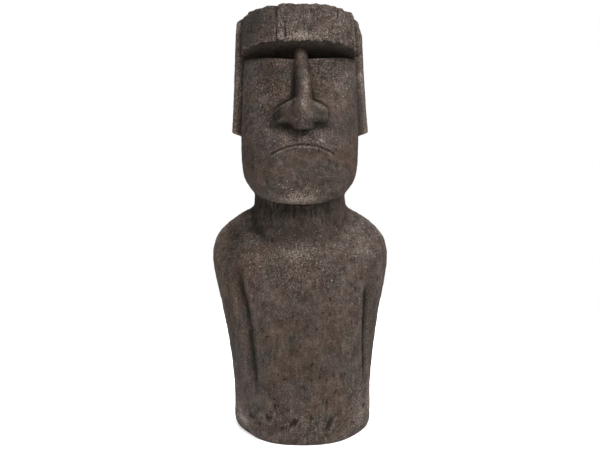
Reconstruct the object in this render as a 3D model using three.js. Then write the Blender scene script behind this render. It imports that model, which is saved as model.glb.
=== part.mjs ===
// Moai half figure, 0.8 m tall, for a garden or a large room: head, neck and torso down to the hips,
// with the arms held against the sides. It is one thin-walled casting in a stone-like cement mix,
// so it is one solid here. The figure faces -Y and stands on its flat underside at z = 0.
// Sizes are in millimetres. A heading is the angle round the upright axis: 0 is straight ahead,
// positive towards the figure's left arm (+X).
import * as THREE from 'three';

const HEIGHT = 800;
const CROWN = 1.5;
const TOP_EDGE_ROUND = 3;
// The base stands a little to the figure's left of the head.
const BASE_DRIFT = 5.5;
const DRIFT_TOP = 400;

const COLUMNS = 80;
const ROWS = 58;
const TOP_RINGS = [0.9, 0.62, 0.3];

// Plan sections: height, half width, reach to the front, reach to the back, squareness.
const TORSO = [
  [0, 134.5, 126.5, 121, 2.2],
  [70, 135, 127.5, 121, 2.15],
  [145, 141, 127, 121, 2.15],
  [240, 157, 119.5, 119, 2.25],
  [300, 170.5, 107.5, 114, 2.35],
  [336, 174.5, 94, 106, 2.35],
  [352, 172.5, 81, 101, 2.3],
  [373, 165.5, 60, 92, 2.2],
  [397, 144, 45, 78, 2.1],
  [412, 123, 38, 66, 2],
  [428, 95, 30, 50, 2],
  [446, 64, 20, 34, 2],
];
const NECK = [
  [300, 100, 84, 86, 2.2],
  [400, 95, 74, 84, 2.3],
  [450, 91, 69, 84, 2.3],
  [500, 91, 72, 86, 2.3],
];
const HEAD = [
  [428, 24, 78, 30, 2],
  [433, 56, 98, 56, 2.1],
  [441, 76, 107, 70, 2.2],
  [452, 88, 112, 79, 2.4],
  [466, 99.5, 115, 86, 2.5],
  [482, 108.5, 115, 92, 2.7],
  [500, 113, 112, 96, 2.8],
  [540, 116, 108, 99, 2.8],
  [600, 116, 99, 101, 2.8],
  [650, 115, 92, 102, 2.8],
  [704, 114, 85, 101, 2.8],
  [800, 112, 80, 97, 2.6],
];
const NECK_TOP = 500;
const CHIN_UNDERSIDE = 430;
const COLLAR_FILLET = 9;
const JAW_FILLET = 4;

const BROW_HEIGHT = 726;
const BROW_UNDERSIDE = 5;
const BROW_REACH = 106;
const FOREHEAD_TOP_REACH = 95;
const RIGHT_TEMPLE_HALF = 116;
const LEFT_TEMPLE_HALF = 113;
const BROW_SQUARENESS = 3.2;
const FOREHEAD_TOP_SQUARENESS = 2.4;
// Flats dressed round the forehead: heading of each edge in degrees, and the step down there.
const FOREHEAD_FLATS = [
  { edge: -90, step: 0 },
  { edge: -73, step: 0 },
  { edge: -58, step: 0 },
  { edge: -36, step: 0 },
  { edge: -25, step: -3.5 },
  { edge: 19, step: 1.5 },
  { edge: 39, step: 1.5 },
  { edge: 60, step: 0 },
  { edge: 90, step: 0 },
];
const FLAT_EDGE = 1.5;
const FLATNESS = 0.85;
// Towards the back the forehead runs out flush into the head.
const DRUM_END = 130;
const DRUM_FADE = 35;
const CHEEK_TOP = 698.5;
const CHEEK_TOP_RISE = 12;
const CHEEK_LEDGE = 3;
const SOCKET_REACH = 66;
const SOCKET_HALF = 105;
const SOCKET_SQUARENESS = 3.2;
const SOCKET_END = 84;
const SOCKET_FADE = 12;

// Nose: height, reach to the front, half width of the ridge.
const NOSE = [
  [562, 84, 7],
  [564, 119, 10],
  [568, 128, 15],
  [575, 133, 20],
  [585, 134, 21.5],
  [597, 130.5, 18.5],
  [612, 123, 14.5],
  [650, 110, 12.8],
  [700, 95, 11.5],
  [719, 86, 11],
];
const NOSE_TOP = 724;
const NOSE_SHIFT = 2;
const NOSE_TILT = 0.045;
const RIDGE_LEAN = 4.5;
const RIDGE_DROP = 11;
const RIDGE_ROUNDNESS = 2.6;
const NOSE_FILLET = 6;
const WING = {
  height: 594,
  reach: 90,
  halfWidth: 51,
  halfHeight: 30,
  swell: 33,
  squareness: 2.8,
  fullness: 0.62,
  shoulder: { from: 600, to: 622, width: 0.55 },
  bottom: { from: 572, to: 577 },
  fillet: 22,
};
const NOSTRIL = { side: 30, height: 574, halfWidth: 11, halfHeight: 6, depth: 17 };

const MOUTH_HEIGHT = 537;
const MOUTH_HALF = 56;
const MOUTH_DROP = 16;
const MOUTH_SHIFT = 5;
const MOUTH_TILT = 0.015;
const MOUTH_ENDS = { whole: 0.92, gone: 1.08 };
const MOUTH_DEPTH = 3.5;
const MOUTH_GROOVE = 3;
const LIP_SWELL = 2;
const LIP_BAND = 12;

const EAR = { front: 31, back: -28, edge: 4, top: 792, bottom: 582, end: 8, lobeSlant: 0.33 };
// Half width of the head over each ear: at its very top, a little lower, and at the lobe.
const RIGHT_EAR_HALF = { tip: 127.5, top: 129.5, lobe: 136 };
const LEFT_EAR_HALF = { tip: 119.5, top: 125.5, lobe: 137 };
// Above 1, the ear flares mostly towards the lobe.
const EAR_FLARE = 1.5;
const EAR_TOP_TAPER = 28;
const EAR_ROUND = { depth: 12, from: 2 };
const EAR_HOLLOW = { depth: 5, ahead: -6, half: 9, span: [608, 622, 764, 780] };

// Arm grooves: height, heading in degrees.
const RIGHT_ARM_GROOVE = [
  [95, -41],
  [125, -41.8],
  [170, -43.4],
  [213, -45.2],
  [253, -49],
  [280, -51.8],
  [340, -57],
];
const LEFT_ARM_GROOVE = [
  [95, 59],
  [130, 58.5],
  [176, 56.2],
  [213, 56],
  [250, 55.9],
  [275, 56.6],
  [330, 60],
];
const BACK_ARM_GROOVE = [
  [95, 131],
  [240, 127],
  [330, 120],
];
const GROOVE_DEPTH = 8;
const RIGHT_GROOVE_HALF = 10.5;
const LEFT_GROOVE_HALF = 6;
const BACK_GROOVE_DEPTH = 3.5;
const BACK_GROOVE_HALF = 12;
const ARM_SWELL = 1.2;
const ARM_SWELL_SPAN = 25;
// Heights where the arms and each groove begin, are full, begin to fade and end.
const ARM_SPAN = [65, 160, 268, 345];
const RIGHT_GROOVE_SPAN = [45, 125, 268, 345];
const LEFT_GROOVE_SPAN = [65, 160, 255, 292];

const BEVELS = [
  { heading: -56, spread: 22, inset: 10, height: 34 },
  { heading: 54, spread: 23, inset: 8, height: 24 },
];
const BEVEL_TAPER = 0.35;
const BEVEL_ALL_ROUND = 1.5;
const BEVEL_ALL_ROUND_HEIGHT = 8;

// Steps close up where the carving is steep: place, how much closer, over what half span.
const ROW_CROWDING = [
  [0, 1.2, 16],
  [354, 0.6, 18],
  [433, 4, 9],
  [470, 0.5, 26],
  [530, 3.2, 12],
  [564, 4, 7],
  [580, 1.2, 12],
  [612, 0.8, 10],
  [703, 5, 5],
  [724, 6, 4],
  [794, 3, 5],
];
const HEADING_CROWDING = [
  [0, 2, 28],
  [-76, 0.9, 5],
  [76, 0.9, 5],
  [-103, 0.5, 5],
  [103, 0.5, 5],
  [-125, 0.5, 8],
  [125, 0.5, 8],
];

const radians = THREE.MathUtils.degToRad;
const mix = THREE.MathUtils.lerp;

// Eases from 0 at one value to 1 at the other, whichever of the two is larger.
function rise(from, to, value) {
  const t = THREE.MathUtils.clamp((value - from) / (to - from), 0, 1);
  return t * t * (3 - 2 * t);
}

// 1 at no offset, falling away on both sides.
function bell(offset, half) {
  return Math.exp(-((offset / half) ** 2));
}

// The larger of two reaches, with a fillet where they cross.
function joined(a, b, fillet) {
  const overlap = Math.max(fillet - Math.abs(a - b), 0) / fillet;
  return Math.max(a, b) + (fillet * overlap * overlap) / 4;
}

// Value of one column of a station list at a height, on a smooth curve through the stations.
function station(list, height, column) {
  const last = list.length - 1;
  const clamped = Math.min(Math.max(height, list[0][0]), list[last][0]);
  let index = 0;
  while (index < last - 1 && clamped > list[index + 1][0]) {
    index += 1;
  }
  const slope = (at) => {
    const low = list[Math.max(at - 1, 0)];
    const high = list[Math.min(at + 1, last)];
    return (high[column] - low[column]) / (high[0] - low[0]);
  };
  const span = list[index + 1][0] - list[index][0];
  const t = (clamped - list[index][0]) / span;
  const ease = t * t * (3 - 2 * t);
  const start = list[index][column] * (1 - ease) + slope(index) * span * t * (1 - t) ** 2;
  return start + list[index + 1][column] * ease - slope(index + 1) * span * t * t * (1 - t);
}

// Distance from the axis to a rounded-square outline.
function outline(heading, half, front, back, square) {
  const ahead = Math.cos(heading);
  const reach = ahead > 0 ? front : back;
  const sum = Math.abs(Math.sin(heading) / half) ** square + Math.abs(ahead / reach) ** square;
  return sum ** (-1 / square);
}

// The outline of a station list at a height.
function section(list, heading, height) {
  const size = (column) => station(list, height, column);
  return outline(heading, size(1), size(2), size(3), size(4));
}

// Distance from the axis to the straight line between two headings on an outline.
function chord(first, last, near, far, heading) {
  const fall = near * Math.sin(heading - first) + far * Math.sin(last - heading);
  return (near * far * Math.sin(last - first)) / fall;
}

// Forehead: a drum with roughly dressed flats round it, standing out over the eyes.
function forehead(heading, height) {
  const up = (height - BROW_HEIGHT) / (HEIGHT - BROW_HEIGHT);
  const front = mix(BROW_REACH, FOREHEAD_TOP_REACH, up);
  const square = mix(BROW_SQUARENESS, FOREHEAD_TOP_SQUARENESS, up);
  const back = station(HEAD, height, 3);
  const half = (at) => (at < 0 ? RIGHT_TEMPLE_HALF : LEFT_TEMPLE_HALF);
  const around = (at) => outline(at, half(at), front, back, square);
  const degrees = THREE.MathUtils.radToDeg(heading);
  let drum = around(heading);
  for (let flat = 1; flat < FOREHEAD_FLATS.length; flat += 1) {
    const start = FOREHEAD_FLATS[flat - 1].edge;
    const end = FOREHEAD_FLATS[flat].edge;
    if (degrees >= start && degrees < end) {
      const first = radians(start);
      const last = radians(end);
      drum = mix(drum, chord(first, last, around(first), around(last), heading), FLATNESS);
    }
  }
  for (const { edge, step } of FOREHEAD_FLATS) {
    drum -= step * rise(edge - FLAT_EDGE, edge + FLAT_EDGE, degrees);
  }
  return drum;
}

// Head without nose and ears: jaw and cheeks, the eye hollow, and the forehead above it.
function head(heading, height) {
  const face = section(HEAD, heading, height);
  const side = Math.abs(Math.sin(heading));
  const cheekTop = CHEEK_TOP + CHEEK_TOP_RISE * side * side;
  if (height < cheekTop) {
    return face;
  }
  const back = station(HEAD, height, 3);
  const hollow = outline(heading, SOCKET_HALF, SOCKET_REACH, back, SOCKET_SQUARENESS);
  const away = Math.abs(THREE.MathUtils.radToDeg(heading));
  const inSocket = rise(SOCKET_END, SOCKET_END - SOCKET_FADE, away);
  const socket = mix(face, hollow, inSocket * rise(cheekTop, cheekTop + CHEEK_LEDGE, height));
  const onDrum = rise(DRUM_END, DRUM_END - DRUM_FADE, away);
  const overBrow = onDrum * rise(BROW_HEIGHT - BROW_UNDERSIDE, BROW_HEIGHT, height);
  return mix(socket, forehead(heading, Math.max(height, BROW_HEIGHT)), overBrow);
}

// How far the edge of the base is cut back: a slight round everywhere and two bevelled corners.
function bevelInset(heading, height) {
  const away = THREE.MathUtils.radToDeg(heading);
  let inset = BEVEL_ALL_ROUND * rise(BEVEL_ALL_ROUND_HEIGHT, 0, height);
  for (const bevel of BEVELS) {
    const strength = bell(away - bevel.heading, bevel.spread);
    const slope = Math.max(1 - height / (bevel.height * mix(BEVEL_TAPER, 1, strength)), 0);
    inset += bevel.inset * strength * slope;
  }
  return inset;
}

// How strongly an arm or a groove is marked at a height, from 0 to 1.
function strengthAt(span, height) {
  const [fadeIn, full, still, fadeOut] = span;
  return rise(fadeIn, full, height) * rise(fadeOut, still, height);
}

// How far the arm stands out, or the groove beside it goes in, at a heading on the torso.
function armRelief(groove, half, span, side, heading, height, radius) {
  const centre = radians(station(groove, height, 1));
  const across = (heading - centre) * side * radius;
  const swell = ARM_SWELL * strengthAt(ARM_SPAN, height) * rise(0, ARM_SWELL_SPAN, across);
  return swell - GROOVE_DEPTH * strengthAt(span, height) * bell(across, half);
}

// Depth of the shallower groove behind each arm.
function backGroove(heading, height, radius) {
  const centre = radians(station(BACK_ARM_GROOVE, height, 1));
  const across = (Math.abs(heading) - centre) * radius;
  return BACK_GROOVE_DEPTH * strengthAt(ARM_SPAN, height) * bell(across, BACK_GROOVE_HALF);
}

// Distance from the axis to the skin, before the nose, mouth and ears.
function radiusAt(heading, height) {
  const trunkRadius = section(TORSO, heading, height);
  const right = [RIGHT_ARM_GROOVE, RIGHT_GROOVE_HALF, RIGHT_GROOVE_SPAN, -1];
  const left = [LEFT_ARM_GROOVE, LEFT_GROOVE_HALF, LEFT_GROOVE_SPAN, 1];
  const rightArm = armRelief(...right, heading, height, trunkRadius);
  const leftArm = armRelief(...left, heading, height, trunkRadius);
  const cut = backGroove(heading, height, trunkRadius) + bevelInset(heading, height);
  const torso = trunkRadius + rightArm + leftArm - cut;
  if (height <= NECK[0][0]) {
    return torso;
  }
  const neck = section(NECK, heading, height);
  const trunk = height < NECK_TOP ? joined(torso, neck, COLLAR_FILLET) : 0;
  return height < CHIN_UNDERSIDE ? trunk : joined(trunk, head(heading, height), JAW_FILLET);
}

// Reach to the front of the nose and its wings, at a place on the face.
function noseReach(across, height) {
  if (height < NOSE[0][0] || height > NOSE_TOP) {
    return 0;
  }
  const beside = Math.abs(across);
  const half = station(NOSE, height, 2);
  const fromRidge = Math.abs(across - RIDGE_LEAN * rise(NOSE_TOP, WING.height, height));
  const ridge = station(NOSE, height, 1) - RIDGE_DROP * (fromRidge / half) ** RIDGE_ROUNDNESS;
  const level = height - NOSE_TILT * across;
  const { shoulder, bottom, squareness } = WING;
  const narrowing = mix(1, shoulder.width, rise(shoulder.from, shoulder.to, level));
  const wide = beside / (WING.halfWidth * narrowing);
  const tall = Math.abs(level - WING.height) / WING.halfHeight;
  const dome = 1 - wide ** squareness - tall ** squareness;
  const swollen = dome > 0 ? WING.reach + WING.swell * dome ** WING.fullness : 0;
  const wing = swollen * rise(bottom.from, bottom.to, level);
  const beneath = bell(level - NOSTRIL.height, NOSTRIL.halfHeight);
  const nostril = NOSTRIL.depth * beneath * bell(beside - NOSTRIL.side, NOSTRIL.halfWidth);
  return joined(ridge, wing, WING.fillet) - nostril;
}

// The mouth is a thin frown line under a slightly swollen lip.
function mouthRelief(across, height) {
  const wide = Math.abs(across) / MOUTH_HALF;
  const line = MOUTH_HEIGHT - MOUTH_DROP * Math.min(wide, MOUTH_ENDS.gone) ** 2 + MOUTH_TILT * across;
  const ends = rise(MOUTH_ENDS.gone, MOUTH_ENDS.whole, wide);
  const groove = -MOUTH_DEPTH * bell(height - line, MOUTH_GROOVE);
  const lips = LIP_SWELL * bell(height - line, LIP_BAND);
  return ends * (groove + lips);
}

// How much of an ear there is at a place on the side of the head, from 0 to 1.
function earPresence(ahead, height) {
  const fore = rise(EAR.front, EAR.front - EAR.edge, ahead);
  const aft = rise(EAR.back, EAR.back + 2 * EAR.edge, ahead);
  const bottom = EAR.bottom - EAR.lobeSlant * THREE.MathUtils.clamp(ahead, 0, EAR.front);
  const low = rise(bottom - EAR.end, bottom, height);
  const high = rise(EAR.top + EAR.end, EAR.top, height);
  return fore * aft * low * high;
}

// Half width of the head at the outside of an ear: a rounded front rim and a long shallow hollow.
function earHalf(sizes, ahead, height) {
  const down = Math.max((EAR.top - height) / (EAR.top - EAR.bottom), 0) ** EAR_FLARE;
  const forward = (ahead - EAR_ROUND.from) / (EAR.front - EAR_ROUND.from);
  const rounding = EAR_ROUND.depth * (1 - Math.sqrt(1 - THREE.MathUtils.clamp(forward, 0, 1) ** 2));
  const [low, full, still, high] = EAR_HOLLOW.span;
  const along = rise(low, full, height) * rise(high, still, height);
  const hollow = EAR_HOLLOW.depth * along * bell(ahead - EAR_HOLLOW.ahead, EAR_HOLLOW.half);
  const top = mix(sizes.top, sizes.tip, rise(EAR.top - EAR_TOP_TAPER, EAR.top, height));
  return mix(top, sizes.lobe, down) - rounding - hollow;
}

// One point of the skin; a scale below 1 draws it in towards the axis, for the crown.
function pointAt(heading, height, inset, scale) {
  const radius = (radiusAt(heading, height) - inset) * scale;
  let across = radius * Math.sin(heading);
  let ahead = radius * Math.cos(heading);
  if (scale === 1 && ahead > 0 && height > CHIN_UNDERSIDE) {
    const fromNose = across - NOSE_SHIFT;
    ahead = joined(ahead, noseReach(fromNose, height), NOSE_FILLET);
    ahead += mouthRelief(across - MOUTH_SHIFT, height);
  }
  const presence = earPresence(ahead, height);
  if (scale === 1 && Math.abs(across) > SOCKET_HALF / 2 && presence > 0) {
    const sizes = across > 0 ? LEFT_EAR_HALF : RIGHT_EAR_HALF;
    const plain = Math.abs(across);
    const full = Math.max(plain, earHalf(sizes, ahead, height));
    across = Math.sign(across) * mix(plain, full, presence);
  }
  const drift = BASE_DRIFT * rise(DRIFT_TOP, 0, height);
  return [across + drift, -ahead, height];
}

// Splits a span into steps that close up around the crowded places.
function spread(steps, low, high, crowding) {
  const samples = 4000;
  const total = [0];
  for (let i = 1; i <= samples; i += 1) {
    const at = mix(low, high, (i - 0.5) / samples);
    let density = 1;
    for (const [place, closer, half] of crowding) {
      density += closer * bell(at - place, half);
    }
    total.push(total[i - 1] + density);
  }
  const places = [low];
  let sample = 0;
  for (let step = 1; step < steps; step += 1) {
    while (total[sample] < (total[samples] * step) / steps) {
      sample += 1;
    }
    places.push(mix(low, high, sample / samples));
  }
  places.push(high);
  return places;
}

// One closed skin: rings of points from the base to the top edge, then shrinking over the crown.
function figureGeometry() {
  const headings = spread(COLUMNS, -180, 180, HEADING_CROWDING).slice(0, COLUMNS).map(radians);
  const edge = HEIGHT - CROWN;
  const points = [];
  for (const height of spread(ROWS, 0, edge, ROW_CROWDING)) {
    const over = Math.max(height - (edge - TOP_EDGE_ROUND), 0);
    const inset = TOP_EDGE_ROUND - Math.sqrt(TOP_EDGE_ROUND ** 2 - over ** 2);
    for (const heading of headings) {
      points.push(...pointAt(heading, height, inset, 1));
    }
  }
  for (const scale of TOP_RINGS) {
    for (const heading of headings) {
      const [across, behind] = pointAt(heading, edge, TOP_EDGE_ROUND, scale);
      points.push(across, behind, edge + CROWN * (1 - scale * scale));
    }
  }
  const rings = points.length / 3 / COLUMNS;
  points.push(BASE_DRIFT, 0, 0, 0, 0, HEIGHT);
  const underside = rings * COLUMNS;
  const summit = underside + 1;

  const triangles = [];
  for (let column = 0; column < COLUMNS; column += 1) {
    const next = (column + 1) % COLUMNS;
    triangles.push(underside, next, column);
    for (let ring = 0; ring < rings - 1; ring += 1) {
      const low = ring * COLUMNS;
      const high = low + COLUMNS;
      triangles.push(low + column, low + next, high + next);
      triangles.push(low + column, high + next, high + column);
    }
    const top = (rings - 1) * COLUMNS;
    triangles.push(top + column, top + next, summit);
  }

  const geometry = new THREE.BufferGeometry();
  geometry.setAttribute('position', new THREE.Float32BufferAttribute(points, 3));
  geometry.setIndex(triangles);
  geometry.computeBoundingBox();
  const middle = geometry.boundingBox.getCenter(new THREE.Vector3());
  geometry.translate(-middle.x, -middle.y, 0);
  geometry.computeVertexNormals();
  return geometry;
}

const castStone = new THREE.MeshStandardMaterial({
  color: 0x5d524c,
  roughness: 0.88,
  metalness: 0,
  flatShading: true,
});

const figure = new THREE.Mesh(figureGeometry(), castStone);
figure.name = 'statue';

const moai = new THREE.Group();
moai.add(figure);

export default moai;
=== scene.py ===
import math

import bpy
import numpy as np
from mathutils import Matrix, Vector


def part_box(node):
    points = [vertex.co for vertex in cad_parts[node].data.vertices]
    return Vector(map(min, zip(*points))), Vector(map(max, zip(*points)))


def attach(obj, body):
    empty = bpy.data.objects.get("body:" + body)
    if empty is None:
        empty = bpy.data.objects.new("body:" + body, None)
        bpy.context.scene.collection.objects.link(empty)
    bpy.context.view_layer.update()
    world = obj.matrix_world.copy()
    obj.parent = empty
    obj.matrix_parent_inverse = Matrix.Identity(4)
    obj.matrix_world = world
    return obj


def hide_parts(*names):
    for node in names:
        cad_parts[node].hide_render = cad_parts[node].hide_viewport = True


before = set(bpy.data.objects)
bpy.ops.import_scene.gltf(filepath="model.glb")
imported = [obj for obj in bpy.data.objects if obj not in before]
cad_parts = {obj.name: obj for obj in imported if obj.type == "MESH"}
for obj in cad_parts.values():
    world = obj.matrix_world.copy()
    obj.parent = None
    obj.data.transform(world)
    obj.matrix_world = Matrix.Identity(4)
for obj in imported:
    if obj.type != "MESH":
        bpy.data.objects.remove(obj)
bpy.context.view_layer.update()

# ---------------------------------------------------------------------------------------------------
# Camera: level, straight in front of the figure and close to it, at about half its height, so that
# the brow is seen from below and the base from above.
# ---------------------------------------------------------------------------------------------------
statue_low, statue_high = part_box("statue")
statue_height = statue_high.z - statue_low.z
CAMERA_DISTANCE = 1.235
CAMERA_HEIGHT = 0.489
CAMERA_LENS_MM = 29.4
CAMERA_SENSOR_MM = 36
LEVEL = math.radians(90)

camera_data = bpy.data.cameras.new("camera")
camera_data.lens = CAMERA_LENS_MM
camera_data.sensor_width = CAMERA_SENSOR_MM
camera = bpy.data.objects.new("camera", camera_data)
camera.location = (0, -CAMERA_DISTANCE * statue_height, CAMERA_HEIGHT * statue_height)
camera.rotation_euler = (LEVEL, 0, 0)
bpy.context.scene.collection.objects.link(camera)
bpy.context.scene.camera = camera

# ---------------------------------------------------------------------------------------------------
# Statue: one thin-walled casting in a dark stone-like mix, taken from a mould of a rough carving, then
# stained and dry-brushed. Its skin is worked out in millimetres, ring by ring, from plan sections of
# the torso, neck and head. A heading is the angle round the upright axis, 0 straight ahead.
# ---------------------------------------------------------------------------------------------------
HEIGHT = 800.0
CROWN = 1.5
TOP_EDGE_ROUND = 3.0
BASE_DRIFT = 5.5
DRIFT_TOP = 400.0
COLUMNS = 260
ROWS = 340
TOP_RINGS = 36

# Plan sections: height, half width, reach to the front, reach to the back, squareness.
TORSO = (
    (0, 134.5, 126.5, 121, 2.2),
    (70, 135, 127.5, 121, 2.15),
    (145, 141, 127, 121, 2.15),
    (240, 157, 119.5, 119, 2.25),
    (300, 170.5, 107.5, 114, 2.35),
    (336, 174.5, 94, 106, 2.35),
    (352, 172.5, 81, 101, 2.3),
    (373, 165.5, 60, 92, 2.2),
    (397, 144, 45, 78, 2.1),
    (412, 123, 38, 66, 2),
    (428, 95, 30, 50, 2),
    (446, 64, 20, 34, 2),
)
NECK = (
    (300, 100, 84, 86, 2.2),
    (400, 95, 74, 84, 2.3),
    (450, 91, 69, 84, 2.3),
    (500, 91, 72, 86, 2.3),
)
HEAD = (
    (428, 24, 78, 30, 2),
    (433, 56, 98, 56, 2.1),
    (441, 76, 107, 70, 2.2),
    (452, 88, 112, 79, 2.4),
    (466, 99.5, 115, 86, 2.5),
    (482, 108.5, 115, 92, 2.7),
    (500, 113, 112, 96, 2.8),
    (540, 116, 108, 99, 2.8),
    (600, 116, 99, 101, 2.8),
    (650, 115, 92, 102, 2.8),
    (704, 114, 85, 101, 2.8),
    (800, 112, 80, 97, 2.6),
)
NECK_TOP = 500
CHIN_UNDERSIDE = 430
COLLAR_FILLET = 9
JAW_FILLET = 4

BROW_HEIGHT = 726
BROW_UNDERSIDE = 5
BROW_REACH = 106
FOREHEAD_TOP_REACH = 95
RIGHT_TEMPLE_HALF = 116
LEFT_TEMPLE_HALF = 113
BROW_SQUARENESS = 3.2
FOREHEAD_TOP_SQUARENESS = 2.4
# Flats dressed round the forehead: heading of each edge in degrees, and the step down there.
FOREHEAD_FLATS = (
    (-90, 0), (-73, 0), (-58, 0), (-36, 0), (-25, -3.5), (19, 1.5), (39, 1.5), (60, 0), (90, 0),
)
FLAT_EDGE = 1.5
FLATNESS = 0.85
# Upright cuts between the flats: across, low end, high end, half width, depth.
FOREHEAD_CUTS = (
    (-44.5, 716, 800, 2.6, 6), (-27, 736, 762, 2.2, 4), (33, 764, 800, 2, 2.5), (71, 752, 800, 2, 3),
)
CUT_END = 6
DRUM_END = math.radians(130)
DRUM_FADE = math.radians(35)
CHEEK_TOP = 698.5
CHEEK_TOP_RISE = 12
CHEEK_LEDGE = 3
SOCKET_REACH = 66
SOCKET_HALF = 105
SOCKET_SQUARENESS = 3.2
SOCKET_END = math.radians(84)
SOCKET_FADE = math.radians(12)

# Nose: height, reach to the front, half width of the ridge.
NOSE = (
    (562, 84, 7),
    (564, 119, 10),
    (568, 128, 15),
    (575, 133, 20),
    (585, 134, 21.5),
    (597, 130.5, 18.5),
    (612, 123, 14.5),
    (650, 110, 12.8),
    (700, 95, 11.5),
    (719, 86, 11),
)
NOSE_TOP = 724
NOSE_SHIFT = 2
# The nostrils and the mouth sit a little askew: rise across the face.
NOSE_TILT = 0.045
RIDGE_LEAN = 4.5
RIDGE_DROP = 11
RIDGE_ROUNDNESS = 2.6
WING_HEIGHT = 594
WING_REACH = 90
WING_HALF_WIDTH = 51
WING_HALF_HEIGHT = 30
WING_SWELL = 32
WING_SQUARENESS = 2.8
WING_FULLNESS = 0.45
WING_SHOULDER = (622, 600)
WING_SHOULDER_WIDTH = 0.55
WING_BOTTOM = (572, 577)
WING_FILLET = 22
NOSTRIL_SIDE = 30
NOSTRIL_HEIGHT = 574
NOSTRIL_HALF = (11, 6)
NOSTRIL_DEPTH = 17
CREASE_SIDE = 27
CREASE_HEIGHT = 588
CREASE_HALF = (5, 12)
CREASE_DEPTH = 1.5
NOSE_FILLET = 6

MOUTH_HEIGHT = 537
MOUTH_HALF = 56
MOUTH_DROP = 16
MOUTH_SHIFT = 5
MOUTH_TILT = 0.015
MOUTH_DEPTH = 2.8
MOUTH_GROOVE = 1.7
# In half widths of the mouth: where its curve stops, and where it fades at the ends.
MOUTH_CURVE_END = 1.2
MOUTH_FADE = (1.06, 0.94)
LOWER_LIP_BELOW = 4.5
LOWER_LIP_SWELL = 2.2
LOWER_LIP_HALF = 2.6
UPPER_LIP_SWELL = 1.6
UPPER_LIP_HALF = 6
CORNER_DIP = 2.5
CORNER_HALF_WIDTH = 0.07
CORNER_HALF_HEIGHT = 4

EAR_FRONT = 31
EAR_BACK = -28
EAR_EDGE = 4
EAR_TOP = 792
EAR_BOTTOM = 582
EAR_END = 8
LOBE_SLANT = 0.33
# Half width of the head over each ear: at the lobe, high up, and at the very top.
RIGHT_EAR_HALF = (136, 129.5, 127.5)
LEFT_EAR_HALF = (137, 125.5, 119.5)
EAR_FLARE = 1.5
EAR_TOP_TAPER = 28
EAR_ROUND = 12
EAR_ROUND_BACK = 2
EAR_HOLLOW = 5
EAR_HOLLOW_AHEAD = -6
EAR_HOLLOW_HALF = 9
EAR_HOLLOW_SPAN = (608, 622, 764, 780)
EAR_GROOVE_DEPTH = 3
EAR_GROOVE_HALF = 3

# Arm grooves: height, heading in degrees.
RIGHT_ARM_GROOVE = (
    (95, -41), (125, -41.8), (170, -43.4), (213, -45.2), (253, -49), (280, -51.8), (340, -57),
)
LEFT_ARM_GROOVE = ((95, 59), (130, 58.5), (176, 56.2), (213, 56), (250, 55.9), (275, 56.6), (330, 60))
GROOVE_DEPTH = 8
RIGHT_GROOVE_HALF = 10.5
LEFT_GROOVE_HALF = 6
ARM_SWELL = 1.2
ARM_SWELL_SPAN = 25
# Heights where the arms and each groove begin, are full, begin to fade and end.
ARM_SPAN = (65, 160, 268, 345)
RIGHT_GROOVE_SPAN = (45, 125, 268, 345)
LEFT_GROOVE_SPAN = (65, 160, 255, 292)
BACK_ARM_GROOVE = ((95, 131), (240, 127), (330, 120))
BACK_GROOVE_DEPTH = 3.5
BACK_GROOVE_HALF = 12

# Single air pits: across, height, half length, half width, lean in degrees, depth.
PITS = (
    (-12, 41, 6.5, 2.2, 35, 5), (51, 37, 9, 2.0, 25, 4.5), (-57, 46, 5, 2, -20, 2.5),
    (-44, 68, 3.5, 2, 0, 2.5), (-31, 30, 4, 1.8, 30, 2), (-89, 42, 4.5, 2.2, 10, 2.5),
    (-73, 31, 4, 2, 0, 2), (119, 52, 4, 2.2, 0, 3), (119, 136, 6, 2.5, 20, 1.4),
    (116, 128, 5, 2, 30, 1.2), (-11, 409, 4, 2, 0, 2), (21, 143, 4, 1.6, 60, 1.6),
    (-28, 118, 4, 1.6, -50, 1.6), (64, 92, 4, 1.6, 40, 1.6), (30, 205, 3.5, 1.6, 0, 1.6),
    (-60, 190, 4, 1.6, 70, 1.6),
)

# Bevelled corners of the base: heading and spread in degrees, inset, height. A bevel is lower where
# it fades out, down to the share of its height that the taper gives.
BEVELS = ((-56, 22, 10, 34), (54, 23, 8, 24))
BEVEL_TAPER = 0.35
BEVEL_ALL_ROUND = 1.5
BEVEL_ALL_ROUND_HEIGHT = 8

# Steps close up where the carving is steep: place, how much closer, over what half span.
ROW_CROWDING = (
    (0, 1.2, 16), (354, 0.6, 18), (433, 4, 9), (470, 0.5, 26), (532, 1.4, 18),
    (562, 3, 9), (582, 1, 10), (704, 5, 5), (726, 6, 4), (794, 3, 5),
)
SPREAD_SAMPLES = 20001
HEADING_CROWDING = (
    (0, 1.1, 30), (-25, 1.8, 4), (-76, 0.9, 5), (76, 0.9, 5), (-103, 0.5, 5), (103, 0.5, 5),
)


def ease(start, end, value):
    """0 at start and 1 at end, smoothly, whichever of the two is larger."""
    t = np.clip((value - start) / (end - start), 0, 1)
    return t * t * (3 - 2 * t)


def bell(offset, half):
    """1 at no offset, falling away on both sides."""
    return np.exp(-((offset / half) ** 2))


def joined(a, b, fillet):
    """The larger of two reaches, with a fillet where they cross."""
    overlap = np.clip(fillet - np.abs(a - b), 0, None) / fillet
    return np.maximum(a, b) + fillet * overlap**2 / 4


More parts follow.
